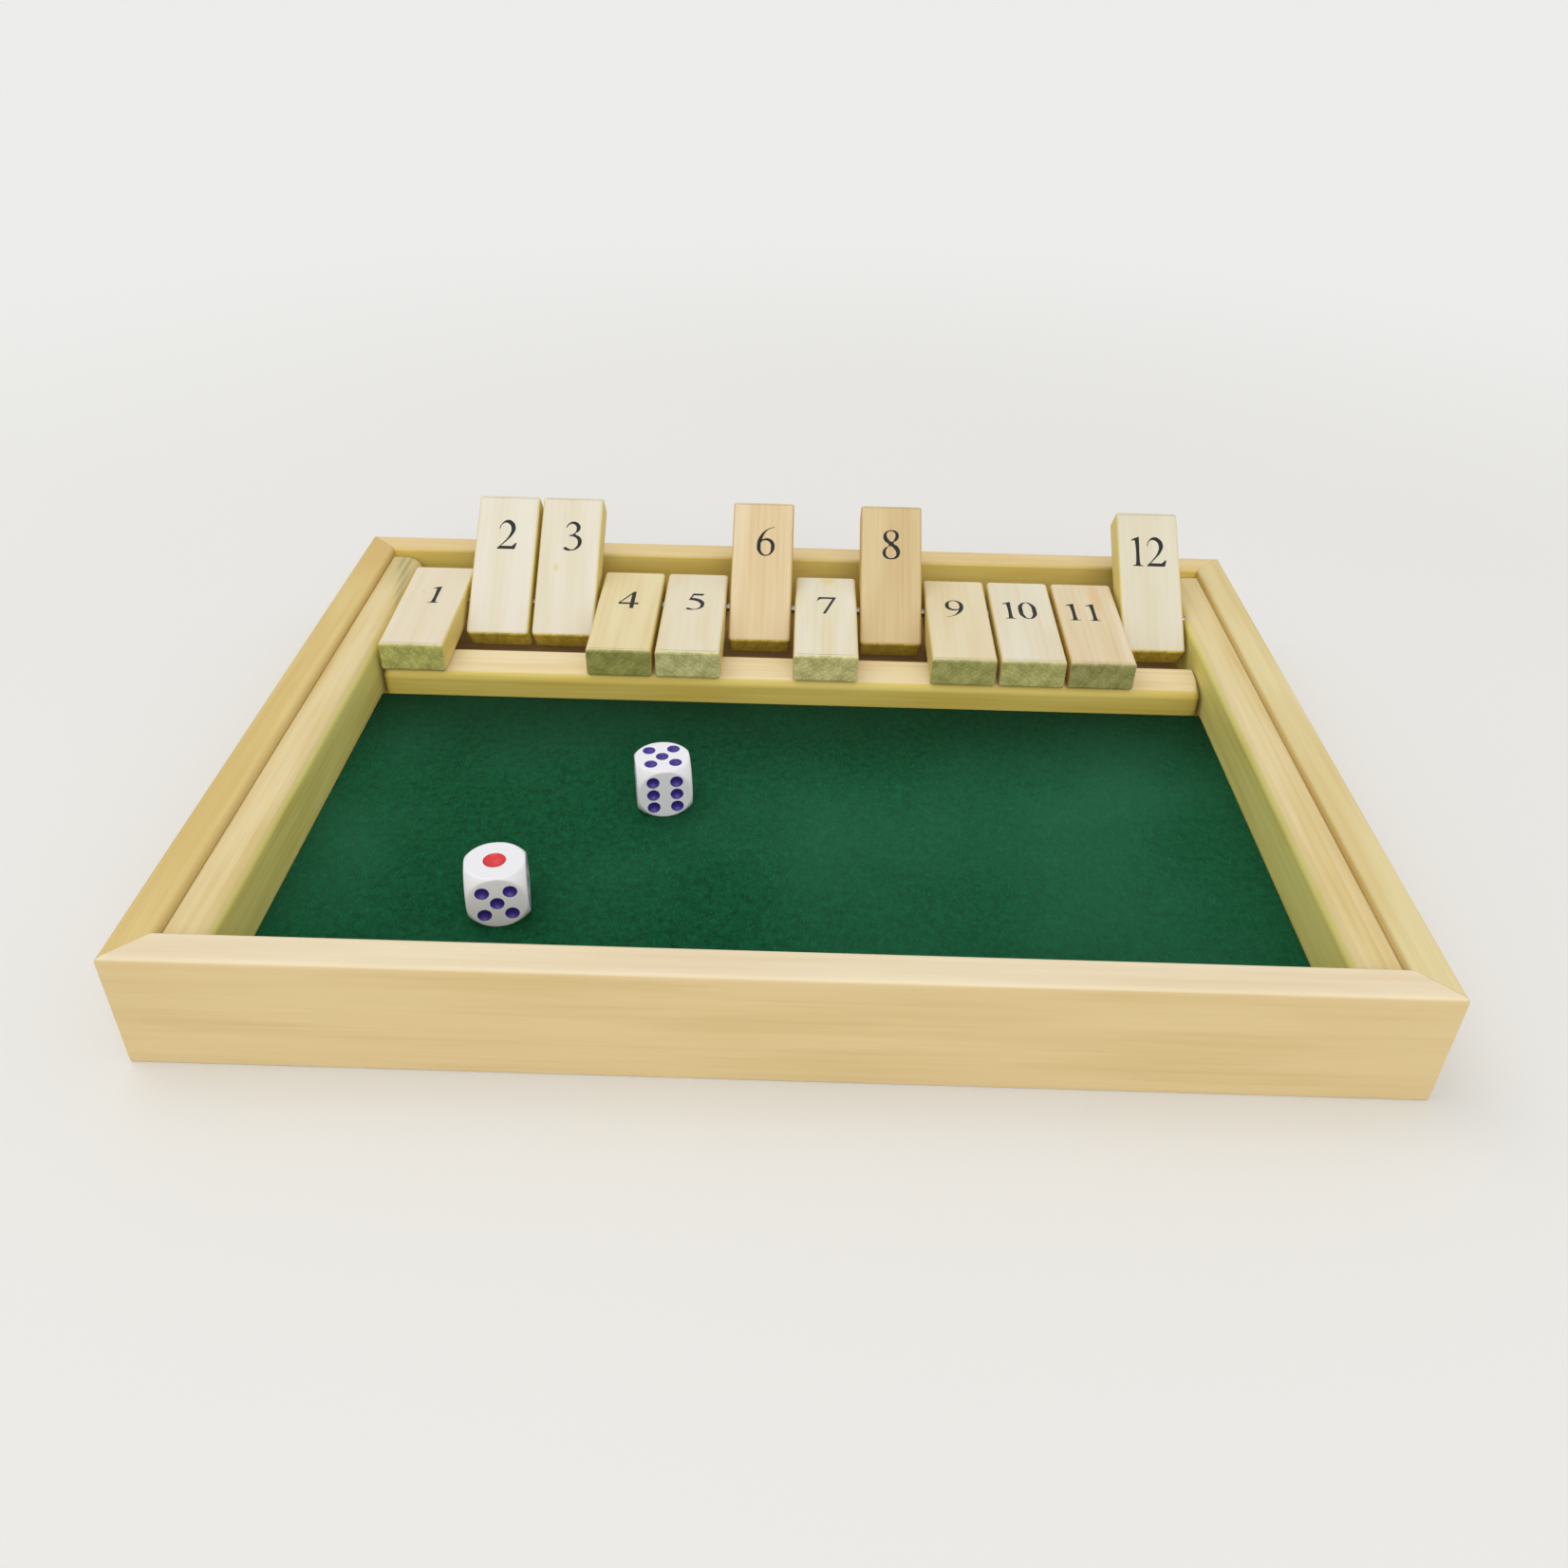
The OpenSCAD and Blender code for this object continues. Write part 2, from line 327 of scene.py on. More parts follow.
    endShare = addNode(tree, "ShaderNodeMapRange", {"Value": along, "From Min": 0.42, "From Max": 0.75},
                       interpolation_type="SMOOTHSTEP").outputs[0]
    tone = addNode(tree, "ShaderNodeMix", {0: endShare, 6: tone, 7: endTone}, data_type="RGBA").outputs[2]

    # raised fibres and planer marks on the faces, torn pores on the ends
    marks = addNode(tree, "ShaderNodeTexWave", {
        "Vector": board, "Scale": waveScale(grainLook["planerMark"]), "Distortion": 0.8, "Detail": 1.0,
        "Detail Scale": 0.2}, wave_type="BANDS", bands_direction="Z")
    planed = addNode(tree, "ShaderNodeMath", {0: marks.outputs["Fac"], 1: grainLook["planerShare"],
                     2: fibres}, operation="MULTIPLY_ADD").outputs[0]
    relief = addNode(tree, "ShaderNodeMix", {0: endShare, 2: planed, 3: mottle},
                     data_type="FLOAT").outputs[0]
    bump = addNode(tree, "ShaderNodeBump", {"Height": relief, "Strength": 0.3,
                   "Distance": grainLook["relief"]})
    satin = addNode(tree, "ShaderNodeMapRange", {"Value": fibres, "To Min": 0.46, "To Max": 0.64}).outputs[0]
    surface = addNode(tree, "ShaderNodeBsdfPrincipled", {"Base Color": tone, "Roughness": satin,
                      "IOR": 1.5, "Normal": bump.outputs[0]})
    addNode(tree, "ShaderNodeOutputMaterial", {"Surface": surface.outputs[0]})
    return material


# tray frame: four mitred walls, grooved for the base board
trayLook = {
    "topRounding": 1.5 * mm, "footRounding": 0.75 * mm, "mitreRounding": 0.15 * mm,
    "grooveSpare": (0.2 * mm, 0.2 * mm, 0.1 * mm),
    "walls": {  # way to the tray's middle, pith of the board, colours of its inner face and of its top; the inner faces' yellow is partly the wood's own and partly painted shade
        "front_wall": ((0, 1, 0), (0.055, 0.040, 0.3), ("#DAC390", "#D4BC87"), ("#E6D8BA", "#E2D1B0")),
        "back_wall": ((0, -1, 0), (0.048, -0.050, 1.1), ("#EAD37A", "#E2C869"), ("#DFC892", "#D9BF84")),
        "left_wall": ((1, 0, 0), (-0.060, 0.035, 2.3), ("#DBC488", "#D3B876"), ("#D6BF7E", "#CFB56E")),
        "right_wall": ((-1, 0, 0), (-0.045, -0.055, 3.7), ("#DBC488", "#D3B876"), ("#DCCD99", "#D5C288")),
    },
    "darkerPatches": {  # darker ends at the back left corner
        "left_wall": [((0.019, 0, 0.128), 0.012, 4, "#C9A85E")],
        "back_wall": [((0.002, 0.0055, -0.150), 0.014, 3, "#D1BB52")],
    },
    "outer": "#DAC390", "outerWarm": "#D4BC87", "end": "#CEB985", "edgeFrom": 0.35,
    "slope": (0.010, 0.014, 0), "ringGap": 3.1 * mm, "wander": 3.0, "ringDepth": 0.11, "streak": 0.13,
}


def makeWall(node, inward, pith, faces, tops):
    low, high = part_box(node)
    thick = min(high.x - low.x, high.y - low.y)
    inward = Vector(inward)
    run = Vector((abs(inward.y), abs(inward.x), 0))
    middle = (low + high) / 2
    wall = addBlock(node + "_pine", low, high)
    for end in (-1, 1):  # mitres
        moveCorners(wall, run * -end * thick,
                    lambda p: (p - middle).dot(inward) > 0 and (p - middle).dot(run) * end > 0)
    roundEdges(wall, trayLook["topRounding"], 6, lambda p, d: abs(d.dot(run)) > 0.9 and p.z > high.z - near)
    roundEdges(wall, trayLook["footRounding"], 3, lambda p, d: abs(d.dot(run)) > 0.9 and p.z < low.z + near)
    pickParts(wall, "FACE", lambda p, n: abs(n.dot(run)) > 0.5)  # thin bevel that draws the mitre's line
    bpy.ops.mesh.region_to_loop()
    bpy.ops.mesh.bevel(offset=trayLook["mitreRounding"], segments=2, affect="EDGES")
    bpy.ops.object.mode_set(mode="OBJECT")
    boardLow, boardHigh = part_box("base_board")
    spare = Vector(trayLook["grooveSpare"])
    cutWith(wall, addBlock("grooveTool", boardLow - Vector((spare.x, spare.y, 0)), boardHigh + spare))
    shadeClean(wall)
    dress(wall, planedPine("planed pine, " + node.replace("_", " "), {
        **trayLook, "origin": middle, "turn": boardTurn(inward.cross(run), inward, run), "pith": pith,
        "face": faces[0], "faceWarm": faces[1], "edge": tops[0], "edgeWarm": tops[1],
        "spots": trayLook["darkerPatches"].get(node, ())}))
    standFor(wall, node, "tray")


for node, wallBoard in trayLook["walls"].items():
    makeWall(node, *wallBoard)
print("tray frame done")


# side strips that carry the rod in blind holes
stripLook = {
    "topRounding": 3.8 * mm, "cornerRounding": 8.5 * mm, "outerRounding": 1.0 * mm,
    "boreRadius": 1.55 * mm, "boreDepth": 8.0 * mm,
    "face": "#DECD9D", "faceWarm": "#D6C185", "edge": "#EAE28B", "edgeWarm": "#DED377", "end": "#BBA86C",
    "edgeFrom": 0.55, "slope": (0.02, -0.015, 0), "ringGap": 2.2 * mm, "wander": 3.2, "ringDepth": 0.24,
    "streak": 0.20,
    "strips": {  # which way the inner face looks along X, pith of the board, darker patches
        "left_rod_strip": (1, (0.030, 0.034, 5.1), [  # darker back end with streaks in it
            ((0, 0.0102, 0.116), 0.0075, 4, "#C0B178"),
            ((-0.0016, 0.0102, 0.106), 0.0012, 14, "#958E60"),
            ((-0.0036, 0.0102, 0.094), 0.0010, 18, "#A39A6A"),
            ((0.0012, 0.0102, 0.112), 0.0010, 10, "#9C9466"),
            ((-0.0052, 0.0098, 0.082), 0.0007, 14, "#ADA274")]),
        "right_rod_strip": (-1, (-0.050, 0.030, 6.4), ()),
    },
}
rodLow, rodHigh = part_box("tile_rod")
rodMiddle = (rodLow + rodHigh) / 2


def makeStrip(node, inner, pith, darkerPatches):
    low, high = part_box(node)
    innerX = high.x if inner > 0 else low.x
    inside = high.x - low.x - near  # edges farther than this from the inner face belong to the outer one
    strip = addBlock(node + "_pine", low, high)
    roundEdges(strip, stripLook["cornerRounding"], 10, lambda p, d: abs(d.z) > 0.9 and
               abs(p.x - innerX) < near and p.y > high.y - near)
    roundEdges(strip, stripLook["topRounding"], 8, lambda p, d: p.z > high.z - near and
               abs(p.x - innerX) < inside and p.y > low.y + near)
    roundEdges(strip, stripLook["outerRounding"], 3, lambda p, d: p.z > high.z - near and (
        abs(p.x - innerX) > inside or p.y < low.y + near) and abs(d.z) < 0.1)
    deselectAll()
    bpy.ops.mesh.primitive_cylinder_add(
        vertices=40, radius=stripLook["boreRadius"], depth=2 * stripLook["boreDepth"],
        location=(innerX, rodMiddle.y, rodMiddle.z), rotation=(0, math.pi / 2, 0))
    cutWith(strip, applyPlace(bpy.context.object, "boreTool"))
    shadeClean(strip)
    dress(strip, planedPine("planed pine, " + node.replace("_", " "), {
        **stripLook, "origin": (low + high) / 2,
        "turn": boardTurn(Vector((-1, 0, 0)), Vector((0, 0, 1)), Vector((0, 1, 0))), "pith": pith,
        "spots": darkerPatches}))
    standFor(strip, node, "tray")


for node, stripBoard in stripLook["strips"].items():
    makeStrip(node, *stripBoard)
print("side strips done")


# ledge that the lowered tiles lie on
ledgeLook = {
    "frontRounding": 3.325 * mm, "endRounding": 3.5 * mm, "backRounding": 0.8 * mm,
    "face": "#EADAB1", "faceWarm": "#E4CE9D", "edge": "#D8C568", "edgeWarm": "#CEB855", "end": "#C7B679",
    # a low edgeFrom lets the front face's darker olive tone climb the front rounding: painted shade in place
    # of the tile ends' shadow on it
    "pith": (0.030, 0.045, 8.2), "edgeFrom": 0.22, "slope": (0.012, 0.010, 0), "ringGap": 2.0 * mm,
    "wander": 3.0, "ringDepth": 0.20, "streak": 0.18,
}
low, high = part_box("tile_ledge")
ledge = addBlock("tile_ledge_pine", low, high)
roundEdges(ledge, ledgeLook["endRounding"], 6, lambda p, d: abs(d.z) > 0.9 and p.y < low.y + near)
roundEdges(ledge, ledgeLook["frontRounding"], 6, lambda p, d: p.z > high.z - near and
           abs(d.z) < 0.1 and p.y < low.y + ledgeLook["endRounding"] - near / 2)
roundEdges(ledge, ledgeLook["backRounding"], 3, lambda p, d: p.z > high.z - near and p.y > high.y - near)
shadeClean(ledge)
dress(ledge, planedPine("planed pine, ledge", {
    **ledgeLook, "origin": (low + high) / 2,
    "turn": boardTurn(Vector((0, 1, 0)), Vector((0, 0, 1)), Vector((1, 0, 0)))}))
standFor(ledge, "tile_ledge", "tray")
print("ledge done")


# base board: birch plywood, a flat panel in the walls' grooves, seen in the well behind the ledge
boardLook = {"veneer": "#AD8B4E", "veneerWarm": "#9A763D", "figure": 6.25 * mm, "fine": 0.6667 * mm,
             "shortening": 0.08, "relief": 0.08 * mm}


def birchPlywood():
    # rotary-cut veneer: broad, soft, faintly darker bands along X
    material, tree = newMaterial("sanded birch plywood")
    where = addNode(tree, "ShaderNodeTexCoord")
    space = addNode(tree, "ShaderNodeMapping", {"Vector": where.outputs["Object"],
                    "Scale": (boardLook["shortening"], 1, 1)}).outputs[0]
    figure = addNode(tree, "ShaderNodeTexNoise", {"Vector": space, "Scale": noiseScale(boardLook["figure"]),
                     "Detail": 4.0, "Distortion": 0.6}).outputs[0]
    fine = addNode(tree, "ShaderNodeTexNoise", {"Vector": space, "Scale": noiseScale(boardLook["fine"]),
                   "Detail": 2.0}).outputs[0]
    share = addNode(tree, "ShaderNodeMapRange", {"Value": figure, "From Min": 0.3,
                    "From Max": 0.7}).outputs[0]
    tone = addNode(tree, "ShaderNodeMix", {0: share, 6: hexColour(boardLook["veneer"]),
                   7: hexColour(boardLook["veneerWarm"])}, data_type="RGBA").outputs[2]
    bump = addNode(tree, "ShaderNodeBump", {"Height": fine, "Strength": 0.3, "Distance": boardLook["relief"]})
    surface = addNode(tree, "ShaderNodeBsdfPrincipled", {"Base Color": tone, "Roughness": 0.6, "IOR": 1.5,
                      "Normal": bump.outputs[0]})
    addNode(tree, "ShaderNodeOutputMaterial", {"Surface": surface.outputs[0]})
    return material


dress(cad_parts["base_board"], birchPlywood())
print("base board done")


# felt, glued flat in front of the ledge
feltLook = {
    "cells": (96, 52), "rimRounding": 0.35 * mm, "nap": 0.4 * mm,
    "mottle": 3.03 * mm, "cloud": 71 * mm, "fibre": 0.5263 * mm, "fibreTurn": 0.6, "fibreShortening": 0.3,
    "deep": "#033821", "mid": "#085230", "light": "#20724A", "rubbed": "#256046", "sheen": "#8FC4A2",
    # painted shade along the ledge: the colour the felt is multiplied by, and how far it reaches
    "paintedLedgeShade": "#5A8C74", "paintedLedgeShadeWidth": 60 * mm,
}


def woolFelt():
    # pressed wool: no weave, a fine mottle, paler loose fibres and a faint sheen, rubbed greyer where
    # hands and dice pass, and darkened towards the ledge by painted shade
    material, tree = newMaterial("pressed wool felt")
    where = addNode(tree, "ShaderNodeTexCoord").outputs["Object"]
    mottle = addNode(tree, "ShaderNodeTexNoise", {"Vector": where, "Scale": noiseScale(feltLook["mottle"]),
                     "Detail": 5.0, "Roughness": 0.65}).outputs[0]
    cloudy = addNode(tree, "ShaderNodeTexNoise", {"Vector": where, "Scale": noiseScale(feltLook["cloud"]),
                     "Detail": 2.0}).outputs[0]
    # fibres, drawn coarser than real ones so that they show
    fibreSpace = addNode(tree, "ShaderNodeMapping", {
        "Vector": where, "Rotation": (0, 0, feltLook["fibreTurn"]),
        "Scale": (1, feltLook["fibreShortening"], 1)}).outputs[0]
    fibres = addNode(tree, "ShaderNodeTexNoise", {"Vector": fibreSpace, "Detail": 3.0, "Distortion": 1.2,
                     "Scale": noiseScale(feltLook["fibre"])}).outputs[0]
    share = addNode(tree, "ShaderNodeMapRange", {"Value": mottle, "From Min": 0.32,
                    "From Max": 0.68}).outputs[0]
    tone = addNode(tree, "ShaderNodeMix", {0: share, 6: hexColour(feltLook["deep"]),
                   7: hexColour(feltLook["mid"])}, data_type="RGBA").outputs[2]
    cloudShare = addNode(tree, "ShaderNodeMapRange", {"Value": cloudy, "From Min": 0.40, "From Max": 0.75,
                         "To Max": 0.6}).outputs[0]
    tone = addNode(tree, "ShaderNodeMix", {0: cloudShare, 6: tone, 7: hexColour(feltLook["rubbed"])},
                   data_type="RGBA").outputs[2]
    fibreShare = addNode(tree, "ShaderNodeMapRange", {"Value": fibres, "From Min": 0.50, "From Max": 0.74,
                         "To Max": 0.5}).outputs[0]
    tone = addNode(tree, "ShaderNodeMix", {0: fibreShare, 6: tone, 7: hexColour(feltLook["light"])},
                   data_type="RGBA").outputs[2]
    # painted shade: the felt darkens towards the ledge as if the ledge and tiles shaded it
    depth = addNode(tree, "ShaderNodeSeparateXYZ", {0: where}).outputs["Y"]
    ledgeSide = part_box("felt_lining")[1].y
    paintedShadeShare = addNode(tree, "ShaderNodeMapRange", {
        "Value": depth, "From Min": ledgeSide - feltLook["paintedLedgeShadeWidth"], "From Max": ledgeSide,
        "To Max": 0.8}, interpolation_type="SMOOTHSTEP").outputs[0]
    tone = addNode(tree, "ShaderNodeMix", {0: paintedShadeShare, 6: tone, 7: hexColour(feltLook["paintedLedgeShade"])},
                   data_type="RGBA", blend_type="MULTIPLY").outputs[2]
    relief = addNode(tree, "ShaderNodeMath", {0: mottle, 1: fibres}, operation="ADD").outputs[0]
    bump = addNode(tree, "ShaderNodeBump", {"Height": relief, "Strength": 0.55,
                   "Distance": feltLook["nap"]})
    surface = addNode(tree, "ShaderNodeBsdfPrincipled", {
        "Base Color": tone, "Roughness": 0.95, "IOR": 1.45, "Specular IOR Level": 0.12, "Sheen Weight": 0.05,
        "Sheen Roughness": 0.6, "Sheen Tint": hexColour(feltLook["sheen"]), "Normal": bump.outputs[0]})
    addNode(tree, "ShaderNodeOutputMaterial", {"Surface": surface.outputs[0]})
    return material


low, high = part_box("felt_lining")
deselectAll()
bpy.ops.mesh.primitive_grid_add(x_subdivisions=feltLook["cells"][0], y_subdivisions=feltLook["cells"][1],
                                size=1, location=((low.x + high.x) / 2, (low.y + high.y) / 2, low.z))
felt = bpy.context.object
felt.scale = (high.x - low.x, high.y - low.y, 1)
applyPlace(felt, "felt_cloth")
pickParts(felt, "FACE", lambda p, n: True)
bpy.ops.mesh.extrude_region_move(TRANSFORM_OT_translate={"value": (0, 0, high.z - low.z)})
bpy.ops.object.mode_set(mode="OBJECT")
roundEdges(felt, feltLook["rimRounding"], 3, lambda p, d: p.z > high.z - near and
           min(p.x - low.x, high.x - p.x, p.y - low.y, high.y - p.y) < near)
shadeClean(felt, 60)
dress(felt, woolFelt())
standFor(felt, "felt_lining", "tray")
print("felt done")


# steel rod through all the tiles
rodLook = {"endRounding": 0.3 * mm, "colour": "#9C9DA0", "line": 0.25 * mm, "lineShortening": 0.02,
           "relief": 0.02 * mm}


def drawnSteel():
    # bright drawn wire: fine lines run along the rod and blur its highlight across
    material, tree = newMaterial("drawn steel")
    where = addNode(tree, "ShaderNodeTexCoord").outputs["Object"]
    space = addNode(tree, "ShaderNodeMapping", {"Vector": where,
                    "Scale": (rodLook["lineShortening"], 1, 1)}).outputs[0]
    lines = addNode(tree, "ShaderNodeTexNoise", {"Vector": space, "Scale": noiseScale(rodLook["line"]),
                    "Detail": 2.0}).outputs[0]
    dull = addNode(tree, "ShaderNodeMapRange", {"Value": lines, "To Min": 0.28, "To Max": 0.44}).outputs[0]
    bump = addNode(tree, "ShaderNodeBump", {"Height": lines, "Strength": 0.2, "Distance": rodLook["relief"]})
    surface = addNode(tree, "ShaderNodeBsdfPrincipled", {"Base Color": hexColour(rodLook["colour"]),
                      "Metallic": 1.0, "Roughness": dull, "Normal": bump.outputs[0]})
    addNode(tree, "ShaderNodeOutputMaterial", {"Surface": surface.outputs[0]})
    return material


deselectAll()
bpy.ops.mesh.primitive_cylinder_add(
    vertices=48, radius=(rodHigh.z - rodLow.z) / 2, depth=rodHigh.x - rodLow.x,
    location=rodMiddle, rotation=(0, math.pi / 2, 0))
rod = applyPlace(bpy.context.object, "tile_rod_steel")
roundEdges(rod, rodLook["endRounding"], 2, lambda p, d: abs(abs(p.x) - rodHigh.x) < near)
shadeClean(rod)
dress(rod, drawnSteel())
standFor(rod, "tile_rod", "tray")
print("rod done")


# tiles: one block modelled upright on the rod's axis, copied twelve times
tileLook = {
    "width": 24.0 * mm, "thick": 11.5 * mm, "length": 60.0 * mm, "pivot": 16.4 * mm, "pitch": 25.4 * mm,
    "hingeRounding": 1.7 * mm, "farRounding": 0.9 * mm, "edgeRounding": 1.3 * mm, "boreRadius": 1.55 * mm,
    "raised": (2, 3, 6, 8, 12), "raisedTurn": -52.0, "loweredTurn": 92.484, "warm": (6, 8, 11),
    "edgeFrom": 0.45, "slope": (0.02, 0.03, 0), "wander": 2.0,
}
# each tile's own board: pith, ring gap in mm, ring depth, streak, colours of its face, edge and end; the
# raised tiles 2, 3 and 12 have brighter edges, painted light on sides that lie in shade between tiles
tileBoards = {
    1: ((0.034, 0.022, 0.10), 2.6, 0.06, 0.08, ("#E1D9C3", "#DDCFB3"), "#E0CA74", "#D4D180"),
    2: ((0.052, 0.012, 0.45), 2.8, 0.05, 0.07, ("#E2DDCF", "#DED7C3"), "#E2D07A", "#E0CD80"),
    3: ((-0.050, 0.018, 0.81), 2.6, 0.06, 0.07, ("#E1DBCB", "#DCD4BC"), "#E2D07A", "#E0CD80"),
    4: ((-0.030, 0.030, 1.27), 1.9, 0.10, 0.12, ("#E1D5AA", "#DBCA9A"), "#D8C172", "#AEAE64"),
    5: ((0.028, 0.036, 1.66), 1.8, 0.07, 0.09, ("#DFD7BE", "#DBCEAD"), "#D8C57C", "#E4DFA0"),
    6: ((0.060, 0.016, 2.02), 2.7, 0.13, 0.20, ("#E2D0AC", "#DBC49A"), "#CDB068", "#DCC77C"),
    7: ((0.022, -0.034, 2.48), 1.7, 0.09, 0.11, ("#E3DECC", "#DDD3B2"), "#D8C57C", "#EFE4A4"),
    8: ((-0.056, 0.014, 2.91), 2.5, 0.13, 0.20, ("#D6C295", "#CFB788"), "#C9AA5E", "#DAC47A"),
    9: ((-0.026, 0.028, 3.33), 1.6, 0.09, 0.12, ("#DFD3B3", "#DACAA3"), "#D6C074", "#C6C27A"),
    10: ((0.020, 0.026, 3.74), 1.7, 0.07, 0.09, ("#E0DAC7", "#DBD1B6"), "#D8C57C", "#D8D28B"),
    11: ((0.038, -0.024, 4.19), 2.3, 0.13, 0.20, ("#E0D3B6", "#D9C59F"), "#D0B366", "#B8B374"),
    12: ((-0.048, 0.020, 4.60), 2.6, 0.06, 0.08, ("#DCD7C3", "#D7CFB5"), "#E2D07A", "#E0CD80"),
}
# hinge ends of the raised tiles, painted brighter and yellower: painted light on ends that face down into
# shade
paintedLitTileFeet = {2: "#EBD45C", 3: "#EBD45C", 6: "#E4CC5A", 8: "#DEC656", 12: "#EBD45C"}
# resin spots and a warm streak, as planedPine takes them
tileSpots = {
    1: [((-0.004, 0.00575, 0.004), 0.0011, 1.6, "#DDC98E"),
        ((0.001, 0.00575, 0.0145), 0.0009, 1.4, "#DDCB94")],
    3: [((-0.0045, -0.00575, 0.0125), 0.0013, 1.4, "#DACA96")],
    7: [((0.001, 0.00575, -0.013), 0.0034, 1.0, "#DCC988")],
    11: [((0.004, 0.00575, -0.004), 0.0028, 5.0, "#D9B98A")],
}


def makeTileBlock():
    half = Vector((tileLook["width"] / 2, tileLook["thick"] / 2, 0))
    foot, head = -tileLook["pivot"], tileLook["length"] - tileLook["pivot"]
    block = addBlock("tileBlock", (-half.x, -half.y, foot), (half.x, half.y, head))
    roundEdges(block, tileLook["hingeRounding"], 6, lambda p, d: abs(d.y) > 0.9 and p.z < 0)
    roundEdges(block, tileLook["farRounding"], 6, lambda p, d: abs(d.y) > 0.9 and p.z > head - near)
    roundEdges(block, tileLook["edgeRounding"], 5, lambda p, d: abs(p.y) > half.y - near)
    deselectAll()
    bpy.ops.mesh.primitive_cylinder_add(vertices=48, radius=tileLook["boreRadius"],
                                        depth=2 * tileLook["width"], rotation=(0, math.pi / 2, 0))
    cutWith(block, applyPlace(bpy.context.object, "boreTool"))
    shadeClean(block)
    return block


tileBlock = makeTileBlock()
tilePlaces = {}
middleNumber = (1 + len(tileBoards)) / 2
for number, (pith, ringGap, ringDepth, streak, faces, edge, end) in tileBoards.items():
    node = "tile_%d" % number
    turn = tileLook["raisedTurn"] if number in tileLook["raised"] else tileLook["loweredTurn"]
    place = Vector(((number - middleNumber) * tileLook["pitch"], rodMiddle.y, rodMiddle.z))
    tilePlaces[number] = Matrix.Translation(place) @ Matrix.Rotation(math.radians(turn), 4, "X")
    tile = duplicatePiece(tileBlock, node + "_pine")
    tile.matrix_world = tilePlaces[number]
    applyPlace(tile, node + "_pine")
    dress(tile, planedPine("planed pine, tile %d" % number, {
        **tileLook, "origin": place, "turn": (math.radians(turn), 0, 0), "pith": pith,
        "ringGap": ringGap * mm, "ringDepth": ringDepth, "streak": streak,
        "face": faces[0], "faceWarm": faces[1], "edge": edge, "edgeWarm": edge,
        "end": end, "foot": paintedLitTileFeet.get(number, end), "spots": tileSpots.get(number, ())}))
    standFor(tile, node, node)
bpy.data.objects.remove(tileBlock, do_unlink=True)
print("tiles done")


# numbers printed on both faces of each tile
inkLook = {
    "height": 12.8 * mm, "proud": 0.03 * mm, "advance": 0.60, "sixWidth": 0.62,
    "raisedUp": 26.3 * mm, "loweredUp": 6.3 * mm,  # from the rod to a number's middle, on each face
    "shifts": {1: 1.1, 2: 0.6, 3: 1.1, 5: 0.4, 6: 1.2, 7: 0.2, 9: -1.0, 10: -1.1, 11: -2.2},  # mm sideways
    "colour": "#15181A", "worn": "#33372F", "grain": 0.769 * mm,
}
# closed outlines on a unit height: v is a corner, a is a smooth point
digitOutlines = {
    "0": ["a .30 1 a .50 .86 a .57 .5 a .50 .14 a .30 0 a .10 .14 a .03 .5 a .10 .86",
          "a .30 .96 a .41 .82 a .44 .5 a .41 .18 a .30 .04 a .19 .18 a .16 .5 a .19 .82"],
    "1": ["v .20 0 v .51 0 v .51 .025 a .44 .045 a .42 .11 v .42 1 v .40 1 a .18 .88 v .19 .855 "
          "a .275 .875 a .295 .80 a .295 .11 a .275 .045 v .20 .025"],
    "2": ["v .05 .70 a .10 .85 a .28 1 a .46 .93 a .55 .72 a .48 .50 a .30 .27 v .14 .105 v .48 .105 "
          "v .60 .22 v .63 .21 v .57 0 v .03 0 v .03 .03 a .22 .24 a .37 .47 a .42 .68 a .36 .84 "
          "a .23 .90 a .12 .83 v .075 .69"],
    "3": ["v .05 .79 a .12 .92 a .27 1 a .44 .93 a .50 .80 a .45 .66 a .36 .58 a .50 .48 a .57 .31 "
          "a .47 .09 a .24 0 a .08 .02 a .02 .08 a .08 .12 a .17 .075 a .27 .04 a .40 .12 a .45 .28 "
          "a .40 .42 a .27 .49 v .17 .50 v .17 .525 a .30 .58 a .38 .74 a .34 .87 a .23 .92 a .13 .87 "
          "v .075 .78"],
    "4": ["v .36 0 v .48 0 v .48 .24 v .61 .24 v .61 .34 v .48 .34 v .48 1 v .40 1 v .01 .33 v .01 .24 "
          "v .36 .24",
          "v .36 .34 v .07 .34 v .36 .83"],
    "5": ["v .19 .985 v .53 .985 v .49 .875 v .21 .875 v .165 .73 a .36 .68 a .52 .53 a .565 .35 "
          "a .50 .13 a .22 0 a .07 .02 a .03 .07 a .08 .12 a .19 .07 a .28 .05 a .41 .14 a .455 .31 "
          "a .38 .48 a .22 .57 v .075 .59"],
    "6": ["v .57 1 a .38 .93 a .15 .70 a .05 .38 a .12 .10 a .31 0 a .52 .10 a .60 .32 a .53 .53 a .36 .61 "
          "a .22 .57 v .20 .56 a .30 .80 a .45 .94 v .575 .975",
          "a .33 .53 a .45 .46 a .485 .27 a .43 .08 a .32 .04 a .21 .12 a .17 .33 a .20 .49"],
    "7": ["v .08 .985 v .60 .985 v .60 .96 v .28 -.01 v .20 -.01 v .49 .88 v .17 .88 a .10 .84 "
          "v .04 .76 v .015 .77"],
    "8": ["a .30 1 a .48 .94 a .53 .80 a .48 .66 a .37 .56 a .50 .44 a .57 .25 a .49 .06 a .29 0 a .10 .06 "
          "a .03 .22 a .09 .37 a .22 .49 a .10 .61 a .05 .77 a .12 .93",
          "a .29 .96 a .40 .91 a .425 .80 a .39 .68 a .32 .60 a .20 .70 a .155 .82 a .19 .93",
          "a .265 .45 a .16 .36 a .13 .23 a .18 .09 a .30 .04 a .42 .10 a .455 .22 a .40 .34"],
}


